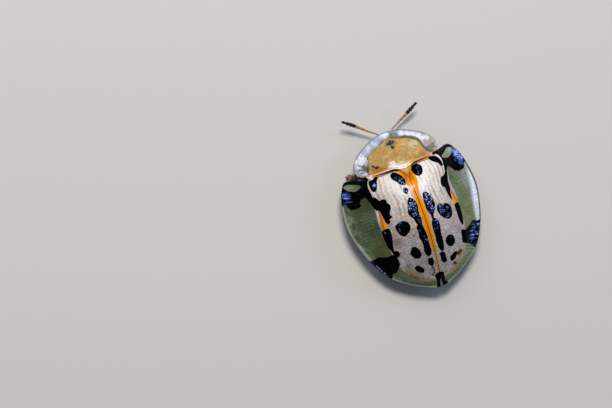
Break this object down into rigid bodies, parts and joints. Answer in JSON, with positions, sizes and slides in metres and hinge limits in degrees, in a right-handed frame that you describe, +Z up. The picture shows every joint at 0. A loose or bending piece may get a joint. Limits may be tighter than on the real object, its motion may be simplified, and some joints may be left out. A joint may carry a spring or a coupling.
{
  "type": "tortoise beetle",
  "caption": "Life-size model of a spotted tortoise beetle standing on six feet, with domed wing-cases, a wide shield over the head and two slim antennae.",
  "frame": {"origin": "on the floor under the centre of the whole animal, antennae included", "axes": "+Z up, head towards -Y, the beetle's right side towards -X"},
  "size_m": [0.012, 0.0163, 0.0051],
  "materials": {
    "wing_case": "glossy cream cuticle with black spots, an orange seam and a clear margin",
    "pronotum": "glossy tan cuticle with a clear pale margin",
    "scutellum": "glossy orange cuticle",
    "eye": "glossy black, finely faceted",
    "antenna": "satin tan cuticle, black at the end",
    "underside": "satin brown-orange cuticle",
    "leg": "satin tan-orange cuticle with a paler sole"
  },
  "bodies": {
    "root": {"elytron_left": "wing_case", "elytron_right": "wing_case", "pronotum": "pronotum", "scutellum": "scutellum", "head": "underside", "eye_left": "eye", "eye_right": "eye", "antenna_left": "antenna", "antenna_right": "antenna", "thorax": "underside", "abdomen": "underside", "leg_front_left": "leg", "leg_front_right": "leg", "leg_middle_left": "leg", "leg_middle_right": "leg", "leg_hind_left": "leg", "leg_hind_right": "leg"}
  },
  "joints": []
}
